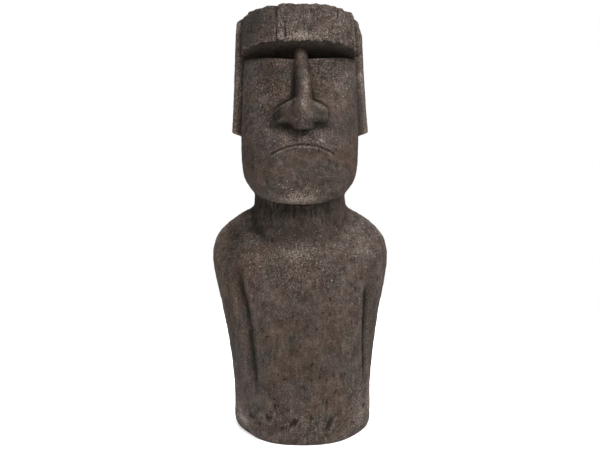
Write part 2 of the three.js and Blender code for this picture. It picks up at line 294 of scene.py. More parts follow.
def station(stations, heights, column):
    """One column of a station list at every height, on a smooth curve through the stations."""
    table = np.array(stations, float)
    levels, values = table[:, 0], table[:, column]
    at = np.clip(heights, levels[0], levels[-1])
    index = np.clip(np.searchsorted(levels, at, side="left") - 1, 0, len(levels) - 2)
    below = np.maximum(np.arange(len(levels)) - 1, 0)
    above = np.minimum(np.arange(len(levels)) + 1, len(levels) - 1)
    slopes = (values[above] - values[below]) / (levels[above] - levels[below])
    span = levels[index + 1] - levels[index]
    t = (at - levels[index]) / span
    blend = t * t * (3 - 2 * t)
    start = values[index] * (1 - blend) + slopes[index] * span * t * (1 - t) ** 2
    return start + values[index + 1] * blend - slopes[index + 1] * span * t * t * (1 - t)


def outline(heading, half, front, back, square):
    """Distance from the axis to a rounded-square outline."""
    ahead = np.cos(heading)
    reach = np.where(ahead > 0, front, back)
    total = np.abs(np.sin(heading) / half) ** square + np.abs(ahead / reach) ** square
    return total ** (-1 / square)


def section(stations, heading, height):
    """Distance from the axis to the plan section at a height."""
    return outline(heading, *(station(stations, height, column) for column in (1, 2, 3, 4)))


def drum(heading, height):
    """The rounded forehead before its flats are dressed."""
    up = (height - BROW_HEIGHT) / (HEIGHT - BROW_HEIGHT)
    half = np.where(heading < 0, RIGHT_TEMPLE_HALF, LEFT_TEMPLE_HALF)
    front = BROW_REACH + (FOREHEAD_TOP_REACH - BROW_REACH) * up
    square = BROW_SQUARENESS + (FOREHEAD_TOP_SQUARENESS - BROW_SQUARENESS) * up
    return outline(heading, half, front, station(HEAD, height, 3), square)


def forehead(heading, height):
    """The forehead, with roughly dressed flats round it, standing out over the eyes."""
    reach = drum(heading, height)
    degrees = np.degrees(heading)
    for (start, _), (end, _) in zip(FOREHEAD_FLATS, FOREHEAD_FLATS[1:]):
        first, last = math.radians(start), math.radians(end)
        near, far = drum(first, height), drum(last, height)
        chord = near * far * math.sin(last - first)
        chord = chord / (near * np.sin(heading - first) + far * np.sin(last - heading))
        on_flat = (degrees >= start) & (degrees < end)
        reach = np.where(on_flat, reach + (chord - reach) * FLATNESS, reach)
    for edge, step in FOREHEAD_FLATS:
        reach = reach - step * ease(edge - FLAT_EDGE, edge + FLAT_EDGE, degrees)
    return reach


def head(heading, height):
    """The head without nose and ears: jaw and cheeks, the eye hollow, and the forehead above it."""
    face = section(HEAD, heading, height)
    cheek_top = CHEEK_TOP + CHEEK_TOP_RISE * np.sin(heading) ** 2
    back = station(HEAD, height, 3)
    hollow = outline(heading, SOCKET_HALF, SOCKET_REACH, back, SOCKET_SQUARENESS)
    in_socket = ease(SOCKET_END, SOCKET_END - SOCKET_FADE, np.abs(heading))
    hollowed = in_socket * ease(cheek_top, cheek_top + CHEEK_LEDGE, height)
    socket = face + (hollow - face) * hollowed
    over_brow = ease(BROW_HEIGHT - BROW_UNDERSIDE, BROW_HEIGHT, height)
    over_brow = over_brow * ease(DRUM_END, DRUM_END - DRUM_FADE, np.abs(heading))
    return socket + (forehead(heading, np.maximum(height, BROW_HEIGHT)) - socket) * over_brow


def bevel_inset(heading, height):
    """How far the edge of the base is cut back: a slight round everywhere and two bevelled corners."""
    inset = BEVEL_ALL_ROUND * ease(BEVEL_ALL_ROUND_HEIGHT, 0, height)
    for place, spread_half, depth, tall in BEVELS:
        strength = bell(np.degrees(heading) - place, spread_half)
        run_out = tall * (BEVEL_TAPER + (1 - BEVEL_TAPER) * strength)
        inset = inset + depth * strength * np.clip(1 - height / run_out, 0, None)
    return inset


def strength_at(span, height):
    """How strongly an arm or a groove is marked at a height, from 0 to 1."""
    fade_in, full, still, fade_out = span
    return ease(fade_in, full, height) * ease(fade_out, still, height)


def arm_relief(groove, half, span, side, heading, height, radius):
    """How far the arm stands out, or the groove beside it goes in."""
    across = (heading - np.radians(station(groove, height, 1))) * side * radius
    swell = ARM_SWELL * strength_at(ARM_SPAN, height) * ease(0, ARM_SWELL_SPAN, across)
    return swell - GROOVE_DEPTH * strength_at(span, height) * bell(across, half)


def back_groove(heading, height, radius):
    """The shallower groove behind each arm."""
    across = (np.abs(heading) - np.radians(station(BACK_ARM_GROOVE, height, 1))) * radius
    return BACK_GROOVE_DEPTH * strength_at(ARM_SPAN, height) * bell(across, BACK_GROOVE_HALF)


def pitting(across, height):
    """Depth of the single pits at a place on the front."""
    depth = 0 * height
    for side, level, long, wide, lean, deep in PITS:
        c, s = math.cos(math.radians(lean)), math.sin(math.radians(lean))
        along = (height - level) * c + (across - side) * s
        beside = (across - side) * c - (height - level) * s
        depth = depth + deep * bell(along, long) * bell(beside, wide)
    return depth


def forehead_cuts(across, height):
    """Depth of the cuts on the forehead, wandering a little as they climb."""
    depth = 0 * height
    for side, low, high, half, deep in FOREHEAD_CUTS:
        wander = np.sin(height / 7 + side)
        along = ease(low - CUT_END, low, height) * ease(high + CUT_END, high, height)
        depth = depth + deep * along * bell(across - side - wander, half)
    return depth


def figure_radius(heading, height):
    """Distance from the axis to the skin, before the nose, mouth and ears."""
    torso = section(TORSO, heading, height)
    right = (RIGHT_ARM_GROOVE, RIGHT_GROOVE_HALF, RIGHT_GROOVE_SPAN, -1)
    left = (LEFT_ARM_GROOVE, LEFT_GROOVE_HALF, LEFT_GROOVE_SPAN, 1)
    relief = arm_relief(*right, heading, height, torso) + arm_relief(*left, heading, height, torso)
    relief = relief - back_groove(heading, height, torso)
    torso = torso + relief - bevel_inset(heading, height)
    neck = section(NECK, heading, height)
    body = np.where(height > NECK[0][0], joined(torso, neck, COLLAR_FILLET), torso)
    body = np.where(height < NECK_TOP, body, 0)
    whole = joined(body, head(heading, height), JAW_FILLET)
    return np.where(height < CHIN_UNDERSIDE, body, whole)


def nose_reach(across, height):
    """Reach to the front of the nose and its wings, at a place on the face."""
    half = station(NOSE, height, 2)
    from_ridge = across - RIDGE_LEAN * ease(NOSE_TOP, WING_HEIGHT, height)
    ridge = station(NOSE, height, 1) - RIDGE_DROP * np.abs(from_ridge / half) ** RIDGE_ROUNDNESS
    tilted = height - NOSE_TILT * across
    narrowing = 1 - (1 - WING_SHOULDER_WIDTH) * ease(WING_SHOULDER[1], WING_SHOULDER[0], tilted)
    wide = np.abs(across / WING_HALF_WIDTH) / narrowing
    tall = np.abs((tilted - WING_HEIGHT) / WING_HALF_HEIGHT)
    dome = 1 - wide**WING_SQUARENESS - tall**WING_SQUARENESS
    wing = np.where(dome > 0, WING_REACH + WING_SWELL * np.maximum(dome, 0) ** WING_FULLNESS, 0)
    wing = wing * ease(*WING_BOTTOM, tilted)
    beside = np.abs(across)
    nostril = bell(beside - NOSTRIL_SIDE, NOSTRIL_HALF[0])
    nostril = nostril * bell(tilted - NOSTRIL_HEIGHT, NOSTRIL_HALF[1])
    crease = bell(beside - CREASE_SIDE, CREASE_HALF[0]) * bell(tilted - CREASE_HEIGHT, CREASE_HALF[1])
    whole = joined(ridge, wing, WING_FILLET) - NOSTRIL_DEPTH * nostril - CREASE_DEPTH * crease
    inside = (height >= NOSE[0][0]) & (height <= NOSE_TOP)
    return np.where(inside, whole, 0)


def mouth_relief(across, height):
    """A thin frown line with a fine rim of lower lip under it, ending in two small corner dips."""
    wide = np.abs(across) / MOUTH_HALF
    line = MOUTH_HEIGHT - MOUTH_DROP * np.minimum(wide, MOUTH_CURVE_END) ** 2 + MOUTH_TILT * across
    above = height - line
    groove = -MOUTH_DEPTH * bell(above, MOUTH_GROOVE)
    lips = LOWER_LIP_SWELL * bell(above + LOWER_LIP_BELOW, LOWER_LIP_HALF)
    lips = lips + UPPER_LIP_SWELL * bell(above - UPPER_LIP_HALF, UPPER_LIP_HALF)
    corner = CORNER_DIP * bell(wide - 1, CORNER_HALF_WIDTH) * bell(above, CORNER_HALF_HEIGHT)
    return ease(*MOUTH_FADE, wide) * (groove + lips) - corner


def ear_presence(ahead, height):
    """How much of an ear there is at a place on the side of the head, from 0 to 1."""
    fore = ease(EAR_FRONT, EAR_FRONT - EAR_EDGE, ahead)
    aft = ease(EAR_BACK, EAR_BACK + 2 * EAR_EDGE, ahead)
    bottom = EAR_BOTTOM - LOBE_SLANT * np.clip(ahead, 0, EAR_FRONT)
    low = ease(bottom - EAR_END, bottom, height)
    high = ease(EAR_TOP + EAR_END, EAR_TOP, height)
    return fore * aft * low * high


def ear_half(side, ahead, height):
    """Half width of the head at the outside of an ear, whose front is one rounded ridge."""
    down = np.clip((EAR_TOP - height) / (EAR_TOP - EAR_BOTTOM), 0, None) ** EAR_FLARE
    halves = zip(LEFT_EAR_HALF, RIGHT_EAR_HALF)
    lobe, top, tip = (np.where(side > 0, left, right) for left, right in halves)
    top = top + (tip - top) * ease(EAR_TOP - EAR_TOP_TAPER, EAR_TOP, height)
    round_front = np.clip((ahead - EAR_ROUND_BACK) / (EAR_FRONT - EAR_ROUND_BACK), 0, 1)
    low, full, still, high = EAR_HOLLOW_SPAN
    along = ease(low, full, height) * ease(high, still, height)
    hollow = EAR_HOLLOW * along * bell(ahead - EAR_HOLLOW_AHEAD, EAR_HOLLOW_HALF)
    return top + (lobe - top) * down - EAR_ROUND * (1 - np.sqrt(1 - round_front**2)) - hollow


def ear_groove(side, ahead, height):
    """The line cut between the cheek and the front rim of the ear."""
    along = ease(EAR_BOTTOM - 2 * EAR_END, EAR_BOTTOM, height) * ease(EAR_TOP + EAR_END, EAR_TOP, height)
    at_side = np.abs(side) > SOCKET_HALF / 2
    return EAR_GROOVE_DEPTH * bell(ahead - EAR_FRONT - 1, EAR_GROOVE_HALF) * along * at_side


def spread(steps, low, high, crowding):
    """Splits a span into steps that close up around the crowded places."""
    edges = np.linspace(low, high, SPREAD_SAMPLES)
    middles = (edges[1:] + edges[:-1]) / 2
    density = 1 + sum(closer * bell(middles - place, half) for place, closer, half in crowding)
    total = np.concatenate(([0], np.cumsum(density)))
    return np.interp(np.linspace(0, total[-1], steps + 1), total, edges)


def statue_mesh():
    """One closed skin: rings of points from the base to the top edge, then shrinking over the crown."""
    edge = HEIGHT - CROWN
    heading = np.radians(spread(COLUMNS, -180, 180, HEADING_CROWDING)[:-1])[None, :]
    side_rows = spread(ROWS, 0, edge, ROW_CROWDING)[:, None]
    over = np.maximum(side_rows - (edge - TOP_EDGE_ROUND), 0)
    inset = TOP_EDGE_ROUND - np.sqrt(TOP_EDGE_ROUND**2 - over**2)
    radius = figure_radius(heading, side_rows) - inset
    across = radius * np.sin(heading)
    cut = pitting(across, side_rows) + forehead_cuts(across, side_rows)
    radius = radius - cut * (np.abs(heading) < math.pi / 2)
    across, ahead = radius * np.sin(heading), radius * np.cos(heading)

    on_face = (ahead > 0) & (side_rows > CHIN_UNDERSIDE)
    with_nose = joined(ahead, nose_reach(across - NOSE_SHIFT, side_rows), NOSE_FILLET)
    with_nose = with_nose + mouth_relief(across - MOUTH_SHIFT, side_rows)
    ahead = np.where(on_face, with_nose, ahead)

    presence = ear_presence(ahead, side_rows) * (np.abs(across) > SOCKET_HALF / 2)
    plain = np.abs(across) - ear_groove(across, ahead, side_rows)
    outside = np.maximum(ear_half(across, ahead, side_rows), plain)
    across = np.sign(across) * (plain + (outside - plain) * presence)
    across = across + BASE_DRIFT * ease(DRIFT_TOP, 0, side_rows)
    sides = np.stack((across, -ahead, side_rows + 0 * across), axis=-1)

    scale = np.linspace(1, 0, TOP_RINGS + 2)[1:-1, None, None]
    top = np.repeat(sides[-1][None], TOP_RINGS, axis=0) * scale
    top[..., 2] = edge + CROWN * (1 - scale[..., 0] ** 2)

    rings = np.concatenate((sides, top))
    count, columns = rings.shape[:2]
    points = np.concatenate((rings.reshape(-1, 3), ((BASE_DRIFT, 0, 0), (0, 0, HEIGHT))))
    underside, summit = len(points) - 2, len(points) - 1
    column = np.arange(columns)
    following = (column + 1) % columns
    low = np.arange(count - 1)[:, None] * columns
    quads = np.stack((low + column, low + following, low + columns + following, low + columns + column), -1)
    faces = [tuple(q) for q in quads.reshape(-1, 4).tolist()]
    last = (count - 1) * columns
    faces += [(underside, b, a) for a, b in zip(column.tolist(), following.tolist())]
    faces += [(last + a, last + b, summit) for a, b in zip(column.tolist(), following.tolist())]

    middle = (points.min(0) + points.max(0)) / 2
    metres = (points - (middle[0], middle[1], 0)) * statue_height / HEIGHT
    placed = metres + ((statue_low.x + statue_high.x) / 2, (statue_low.y + statue_high.y) / 2, statue_low.z)
    mesh = bpy.data.meshes.new("statue")
    mesh.from_pydata(placed.tolist(), [], faces)
    mesh.shade_smooth()
    for name, values in carving_masks(points).items():
        set_mask(mesh, name, values)
    return mesh, (count, columns)


# Places on the front: dry-brushed pale and with painted highlights, stained ochre, and darkened by
# stain and by painted shade; across, height, half width, half height, strength.
# The pale places mix dry-brushed wear with painted highlights: the nose ridge, cheek and shoulder on the
# side toward the key light, the chest, and the bevel at the base.
WORN_AND_HIGHLIT_PLACES = (
    (0, 735, 40, 9, 0.9), (-8, 765, 46, 22, 0.35), (60, 765, 26, 24, 0.35), (-47, 728, 5, 8, 1.2),
    (-38, 760, 6, 10, 0.5), (50, 742, 14, 8, 0.5), (5, 655, 6, 36, 0.25), (7, 605, 6, 14, 1.2),
    (11, 645, 5, 32, 0.8), (2, 706, 8, 8, 0.5), (40, 548, 10, 10, 0.9), (-24, 550, 8, 8, 0.6),
    (4, 532, 26, 3, 1.0), (14, 650, 4, 34, 0.5), (-2, 438, 34, 9, 2.5), (-3, 339, 20, 10, 1.4),
    (104, 380, 26, 14, 0.5), (70, 640, 20, 26, 0.5), (84, 775, 10, 16, 0.7), (112, 42, 10, 20, 1.6),
    (-103, 29, 12, 4, 1.5), (-108, 22, 14, 12, 0.7), (10, 548, 60, 12, 0.45), (-121, 780, 4, 9, 2.2),
    (-120, 692, 4, 26, 2.6), (120, 684, 4, 12, 2.4), (30, 350, 70, 30, 0.3), (-112, 44, 10, 12, 0.5),
    (86, 668, 20, 26, 0.6), (0, 345, 70, 30, 0.3), (-34, 734, 8, 6, 2.6), (2, 735, 20, 6, 3.0),
    (-100, 30, 5, 12, 1.2), (-112, 42, 5, 8, 1.2), (120, 350, 26, 18, 0.65), (133, 64, 5, 34, 1.2),
    (-110, 25, 8, 4, 1.4),
)
OCHRE_PLACES = (
    (-56, 650, 36, 34, 0.8), (-92, 335, 38, 38, 0.8), (-4, 248, 20, 16, 0.8), (-40, 711, 34, 10, 0.7),
    (-116, 600, 6, 16, 0.9), (122, 594, 6, 22, 0.9), (-80, 535, 20, 24, 0.6), (26, 655, 16, 30, 0.4),
    (-20, 760, 40, 24, 0.35), (-50, 120, 30, 26, 0.4), (40, 30, 40, 20, 0.4),
)
# The dark places mix stain with painted shade: in the nostrils, under the nose tip, beside the nose ridge,
# on the shoulder away from the key light, down the arm sides and over the lower body.
DARK_PLACES = (
    (-88, 762, 34, 44, 0.88), (-112, 380, 34, 18, 0.5), (-128, 345, 22, 26, 0.6),
    (-92, 500, 24, 60, 0.42), (-46, 586, 14, 12, 0.5), (-12, 655, 5, 42, 1.2), (-3, 640, 4, 30, 0.4),
    (24, 650, 4, 34, 0.4), (-30, 606, 16, 8, 0.4), (-130, 300, 16, 60, 0.35), (140, 300, 14, 60, 0.3),
    (2, 560, 20, 7, 0.9), (-32, 570, 18, 6, 1.5), (38, 573, 16, 7, 1.7), (88, 575, 14, 10, 0.4),
    (60, 470, 30, 12, 0.2), (2, 482, 46, 30, 0.2), (100, 510, 22, 60, 0.15), (-70, 350, 14, 18, 0.3),
    (80, 330, 20, 10, 0.3), (-38, 592, 16, 16, 0.75), (44, 590, 14, 12, 0.35), (-12, 630, 5, 24, 0.6),
    (0, 590, 26, 20, 0.2), (-118, 702, 6, 12, 0.8), (-121, 612, 6, 18, 0.5), (117, 722, 6, 26, 0.6),
    (122, 620, 6, 26, 0.5), (-134, 180, 18, 80, 0.65), (140, 190, 18, 80, 0.65),
    (0, 140, 110, 80, 0.34), (-8, 372, 46, 17, 0.45), (-96, 590, 20, 40, 0.12),
    (-128, 372, 14, 16, 0.5), (-86, 384, 16, 9, 0.6), (-52, 675, 38, 12, 0.5), (48, 668, 30, 8, 0.3),
    (-60, 640, 26, 14, 0.3), (66, 690, 16, 6, 0.4), (-40, 300, 60, 16, 0.15), (30, 230, 60, 40, 0.15),
)
# Places left rougher than the rest, or smoother where the strength is below 0.
ROUGH_PLACES = (
    (-56, 650, 46, 48, 1.0), (50, 670, 46, 30, 0.8), (10, 555, 44, 26, 0.8), (40, 680, 30, 18, 0.6),
    (-10, 320, 90, 50, 0.55), (-95, 370, 40, 26, 0.6), (-10, 450, 60, 24, 0.45), (0, 30, 140, 26, 0.4),
    (112, 60, 20, 60, 0.6), (-75, 570, 30, 30, 0.4), (-40, 755, 20, 34, 0.5), (0, 736, 70, 12, 0.5),
    (70, 765, 24, 30, 0.35), (3, 662, 9, 46, -0.7), (0, 590, 40, 16, -0.3), (-90, 755, 22, 44, -0.15),
    (96, 560, 20, 70, -0.15), (10, 512, 34, 14, -0.15), (-100, 520, 20, 40, -0.1),
)

# Spans over which a mask fades in, in millimetres, or fades out where the first number is the larger.
HOLD_SPAN = (0, 4)
DRUM_SPAN = (BROW_HEIGHT - 6, BROW_HEIGHT)
DRUM_SIDES = (RIGHT_TEMPLE_HALF + 5, RIGHT_TEMPLE_HALF)
DRUM_FRONT = (-50, 20)
DRUM_RIM = (HEIGHT - 14, HEIGHT - 2)
NECK_CLEAR = (-14, 0)
NECK_FOOT = (NECK[0][0], NECK[0][0] + 40)
NECK_HEAD = (470, 440)
NECK_SHADE_SPAN = (330, 430)
NECK_SHADE_SIDES = (100, 50)
FRONT_SPAN = (-20, 30)
EYE_SINK = (2, 5)
EYE_BAND = (CHEEK_TOP, CHEEK_TOP + 2 * CHEEK_LEDGE)
EYE_BAND_SIDE = (-98, -83)
EYE_DARKER_UP = (704, 716)
BESIDE_NOSE = (NOSE[-1][2], NOSE[-1][2] + 5)
ABOVE_NOSE = (NOSE_TOP - 7, NOSE_TOP - 2)
FIBRE_SPAN = (470, 430)
KEPT_SPAN = (330, 300)
PITTED_DEPTH = (0.3, 0.9)
# Heights where the painted shade in each arm groove begins, is full, begins to fade and ends.
RIGHT_GROOVE_SHADE = (75, 120, 280, 330)
LEFT_GROOVE_SHADE = (90, 140, 262, 292)

# Half widths of the marks that follow a line, in millimetres.
BROW_EDGE_HALF = 7
TOP_EDGE_HALF = 9
GROOVE_KEPT_HALF = 30
RIGHT_GROOVE_SHADE_HALF = 10
LEFT_GROOVE_SHADE_HALF = 7
JAW_OVER_NECK = 8
# The lighter patch under the brow: across, below the brow, half width, half height.
LIT_PATCH = (-40, 4, 32, 6)

# Strengths of the marks, from 0 to 1.
ROUGH_ALL_OVER = 0.15
ROUGH_ON_DRUM = 0.45
FIBRE_ON_DRUM = 0.25
NECK_SHADE_BEHIND = 0.5
EYE_SHADE = 0.68
EYE_SHADE_ABOVE = 0.17
EYE_BAND_END = 0.35
LIT_PATCH_SHARE = 0.22
GROOVE_SHADE = 0.55


def place_mask(places, across, height):
    """The strengths of a list of soft-edged places, added up."""
    total = 0 * height
    for side, level, wide, tall, share in places:
        total = total + bell(across - side, wide) * bell(height - level, tall) * share
    return total


def beside_groove(groove, heading, height, radius):
    """How far a place is from the line of an arm groove, round the torso."""
    return (heading - np.radians(station(groove, height, 1))) * radius


def groove_painted_shade(beside, half, span, height):
    """The painted shade along one arm groove."""
    return bell(beside, half) * strength_at(span, height)


def carving_masks(points):
    """How the surface was left, point by point: held still at the base, rough, ragged, streaked."""
    across, ahead, height = points[:, 0], -points[:, 1], points[:, 2]
    heading = np.arctan2(across, ahead)
    front = ahead > 0
    in_front = ease(*FRONT_SPAN, ahead)

    on_drum = ease(*DRUM_SPAN, height) * ease(*DRUM_SIDES, np.abs(across))
    on_drum = on_drum * np.maximum(ease(*DRUM_FRONT, ahead), ease(*DRUM_RIM, height))
    edges = bell(height - BROW_HEIGHT, BROW_EDGE_HALF) + bell(height - HEIGHT, TOP_EDGE_HALF)

    torso = section(TORSO, heading, height)
    neck = section(NECK, heading, height)
    # Painted shadow of the head on the neck, weaker at the back and gone on the side toward the key light.
    on_neck = ease(*NECK_CLEAR, neck - torso) * ease(*NECK_FOOT, height) * ease(*NECK_HEAD, height)
    under_jaw = np.hypot(across, ahead) < neck + JAW_OVER_NECK
    neck_shade = on_neck * under_jaw * ease(*NECK_SHADE_SPAN, height)
    neck_shade = neck_shade * (NECK_SHADE_BEHIND + (1 - NECK_SHADE_BEHIND) * in_front)
    neck_shade = neck_shade * ease(*NECK_SHADE_SIDES, across)

    # Painted shade in the band of the eyes under the brow, weaker at one end and in a patch under the brow.
    sunk = ease(*EYE_SINK, forehead(heading, BROW_HEIGHT + 0 * height) - np.hypot(across, ahead))
    in_band = sunk * ease(*EYE_BAND, height) * (height < BROW_HEIGHT)
    clear_of_nose = ease(*BESIDE_NOSE, np.abs(across - NOSE_SHIFT))
    clear_of_nose = np.maximum(clear_of_nose, ease(*ABOVE_NOSE, height))
    band_end = EYE_BAND_END + (1 - EYE_BAND_END) * ease(*EYE_BAND_SIDE, across)
    patch_across, patch_below, patch_half_width, patch_half_height = LIT_PATCH
    lit_patch = bell(height - BROW_HEIGHT + patch_below, patch_half_height)
    lit_patch = LIT_PATCH_SHARE * lit_patch * bell(across - patch_across, patch_half_width)
    eye_strength = EYE_SHADE + EYE_SHADE_ABOVE * ease(*EYE_DARKER_UP, height) - lit_patch

    # Painted shade along the arm grooves, and less dry-brushing beside them.
    by_right = beside_groove(RIGHT_ARM_GROOVE, heading, height, torso)
    by_left = beside_groove(LEFT_ARM_GROOVE, heading, height, torso)
    kept = bell(by_right, GROOVE_KEPT_HALF) + bell(by_left, GROOVE_KEPT_HALF)
    groove_dark = groove_painted_shade(by_right, RIGHT_GROOVE_SHADE_HALF, RIGHT_GROOVE_SHADE, height)
    groove_dark = groove_dark + groove_painted_shade(by_left, LEFT_GROOVE_SHADE_HALF, LEFT_GROOVE_SHADE, height)

    rough_places = place_mask(ROUGH_PLACES, across, height) * in_front
    # The neck and eye masks are painted shade; the pale places mix wear with painted highlights, and the
    # dark places mix stain with painted shade.
    return {
        "hold": ease(*HOLD_SPAN, height),
        "rough": np.clip(ROUGH_ALL_OVER + ROUGH_ON_DRUM * on_drum + rough_places, 0, 1),
        "ragged": np.clip(edges * on_drum, 0, 1),
        "fibre": np.clip(ease(*FIBRE_SPAN, height) + FIBRE_ON_DRUM * on_drum, 0, 1),
        "neck_shade": neck_shade,
        "eye_shade": in_band * clear_of_nose * band_end * eye_strength * front,
        "kept": kept * ease(*KEPT_SPAN, height),
        "wear_and_highlight": place_mask(WORN_AND_HIGHLIT_PLACES, across, height) * in_front,
        "ochre": place_mask(OCHRE_PLACES, across, height) * in_front,
        "dark": place_mask(DARK_PLACES, across, height) * in_front + GROOVE_SHADE * groove_dark,
        "pitted": ease(*PITTED_DEPTH, pitting(across, height)) * front,
    }


def set_mask(mesh, name, values):
    """Keeps a mask in the mesh, as one number for each point."""
    mask = mesh.attributes.get(name) or mesh.attributes.new(name, "FLOAT", "POINT")
    mask.data.foreach_set("value", np.ascontiguousarray(values, np.float32).ravel())


def wire(tree, kind, inputs=None, output=0, **settings):
    """Adds a node, sets or links its inputs, and gives back one of its outputs if it has any."""
    made = tree.nodes.new(kind)
    for name, value in settings.items():
        setattr(made, name, value)
    for name, value in (inputs or {}).items():
        if isinstance(value, bpy.types.NodeSocket):
            tree.links.new(value, made.inputs[name])
        else:
            made.inputs[name].default_value = value
    return made.outputs[output] if made.outputs else None


def math_node(tree, operation, first, second=0.0, third=0.0):
    """One sum on up to three numbers."""
    return wire(tree, "ShaderNodeMath", {0: first, 1: second, 2: third}, operation=operation)


# Weathering of the cast skin, all along its normals: soft lumps, sandy grain, scattered air pits and
# upright streaks. Sizes are in metres.
WEATHER_SIZES = {
    "Lump Size": 0.034, "Lump Depth": 0.0065,
    "Chip Size": 0.014, "Chip Depth": 0.0090,
    "Grain Size": 0.0062, "Grain Depth": 0.0036,
    "Pit Size": 0.0125, "Pit Depth": 0.0032, "Pit Share": 0.35,
    "Streak Size": 0.0075, "Streak Depth": 0.0030,
}
STREAK_STRETCH = 0.22
WEATHER_SEED = 41
LUMP_DETAIL = 3.0
CHIP_DETAIL = 2.0
GRAIN_DETAIL = 2.0
STREAK_DETAIL = 1.0
# Smooth skin keeps this share of the lumps and grain, and rough skin gains the rest.
COARSE_SMOOTH = 0.25
COARSE_GAIN = 0.75
CHIP_BY_ROUGHNESS = 0.3
CHIP_FALL = 2.0
# Radius of the pits in cells: the smallest, and how much larger one may be drawn. Their floor is flat.
PIT_RADIUS = 0.12
PIT_RADIUS_DRAW = 0.25
PIT_FLOOR = 0.5


def weathering_tree(sizes):
    """Nodes that move each point of the skin along its normal, by the weathering at that place."""
    tree = bpy.data.node_groups.new("stone_weathering", "GeometryNodeTree")
    tree.interface.new_socket("Geometry", in_out="INPUT", socket_type="NodeSocketGeometry")
    for name, value in sizes.items():
        tree.interface.new_socket(name, in_out="INPUT", socket_type="NodeSocketFloat").default_value = value
    tree.interface.new_socket("Seed", in_out="INPUT", socket_type="NodeSocketFloat")
    tree.interface.new_socket("Material", in_out="INPUT", socket_type="NodeSocketMaterial")
    tree.interface.new_socket("Geometry", in_out="OUTPUT", socket_type="NodeSocketGeometry")
    given = tree.nodes.new("NodeGroupInput").outputs
    place = wire(tree, "GeometryNodeInputPosition")
    normal = wire(tree, "GeometryNodeInputNormal")

    def mask(name):
        return wire(tree, "GeometryNodeInputNamedAttribute", {"Name": name}, data_type="FLOAT")

    def per_metre(size):
        return math_node(tree, "DIVIDE", 1.0, size)

    def noise(size, where, detail):
        inputs = {"Vector": where, "W": given["Seed"], "Scale": per_metre(size), "Detail": detail}
        value = wire(tree, "ShaderNodeTexNoise", inputs, noise_dimensions="4D")
        return math_node(tree, "SUBTRACT", value, 0.5)

    def cells(size, where):
        inputs = {"Vector": where, "W": given["Seed"], "Scale": per_metre(size)}
        node = wire(tree, "ShaderNodeTexVoronoi", inputs, voronoi_dimensions="4D").node
        return node.outputs["Distance"], node.outputs["Color"]

    rough = mask("rough")
    coarse = math_node(tree, "MULTIPLY_ADD", rough, COARSE_GAIN, COARSE_SMOOTH)
    lumps = math_node(tree, "MULTIPLY", noise(given["Lump Size"], place, LUMP_DETAIL), given["Lump Depth"])
    lumps = math_node(tree, "MULTIPLY", lumps, coarse)

    chips = math_node(tree, "MULTIPLY", noise(given["Chip Size"], place, CHIP_DETAIL), given["Chip Depth"])
    roughest = math_node(tree, "POWER", rough, CHIP_FALL)
    chip_share = math_node(tree, "MULTIPLY_ADD", roughest, CHIP_BY_ROUGHNESS, mask("ragged"))
    chips = math_node(tree, "MULTIPLY", chips, chip_share)

    grain = noise(given["Grain Size"], place, GRAIN_DETAIL)
    grain = math_node(tree, "MULTIPLY", grain, given["Grain Depth"])
    grain = math_node(tree, "MULTIPLY", grain, coarse)

    upright = wire(tree, "ShaderNodeVectorMath", {0: place, 1: (1, 1, STREAK_STRETCH)}, operation="MULTIPLY")
    streaks = noise(given["Streak Size"], upright, STREAK_DETAIL)
    streaks = math_node(tree, "MULTIPLY", streaks, given["Streak Depth"])
    streaks = math_node(tree, "MULTIPLY", streaks, mask("fibre"))

    pit_distance, pit_colour = cells(given["Pit Size"], place)
    draw = wire(tree, "FunctionNodeSeparateColor", {"Color": pit_colour})
    chosen = math_node(tree, "LESS_THAN", draw, given["Pit Share"])
    radius = math_node(tree, "MULTIPLY_ADD", draw.node.outputs[1], PIT_RADIUS_DRAW, PIT_RADIUS)
    bowl = math_node(tree, "SUBTRACT", 1.0, math_node(tree, "DIVIDE", pit_distance, radius))
    bowl = math_node(tree, "MINIMUM", math_node(tree, "MAXIMUM", bowl, 0.0), PIT_FLOOR)
    pits = math_node(tree, "MULTIPLY", math_node(tree, "MULTIPLY", bowl, chosen), given["Pit Depth"])

    raised = lumps
    for part in (chips, grain, streaks):
        raised = math_node(tree, "ADD", raised, part)
    total = math_node(tree, "MULTIPLY", math_node(tree, "SUBTRACT", raised, pits), mask("hold"))
    offset = wire(tree, "ShaderNodeVectorMath", {0: normal, "Scale": total}, operation="SCALE")
    moved = wire(tree, "GeometryNodeSetPosition", {"Geometry": given["Geometry"], "Offset": offset})
    realised = wire(tree, "GeometryNodeRealizeInstances", {"Geometry": moved})
    finished = wire(tree, "GeometryNodeSetMaterial", {"Geometry": realised, "Material": given["Material"]})
    wire(tree, "NodeGroupOutput", {"Geometry": finished})
    return tree


def weathered(mesh, material):
    """The skin after its weathering, as a plain mesh with the same points in the same order."""
    carrier = bpy.data.objects.new("smooth_figure", mesh)
    bpy.context.scene.collection.objects.link(carrier)
    modifier = carrier.modifiers.new("weathering", "NODES")
    modifier.node_group = weathering_tree(WEATHER_SIZES)
    values = dict(WEATHER_SIZES, Seed=WEATHER_SEED, Material=material)
    for item in modifier.node_group.interface.items_tree:
        if item.in_out == "INPUT" and item.name in values:
            modifier[item.identifier] = values[item.name]
    graph = bpy.context.evaluated_depsgraph_get()
    result = bpy.data.meshes.new_from_object(carrier.evaluated_get(graph))
    carrier.modifiers.remove(modifier)
    bpy.data.objects.remove(carrier)
    return result


# How many times the skin is smoothed, for fine and for broad hollows.
SHELTER_PASSES = (("fine_standing", 4), ("broad_standing", 60))


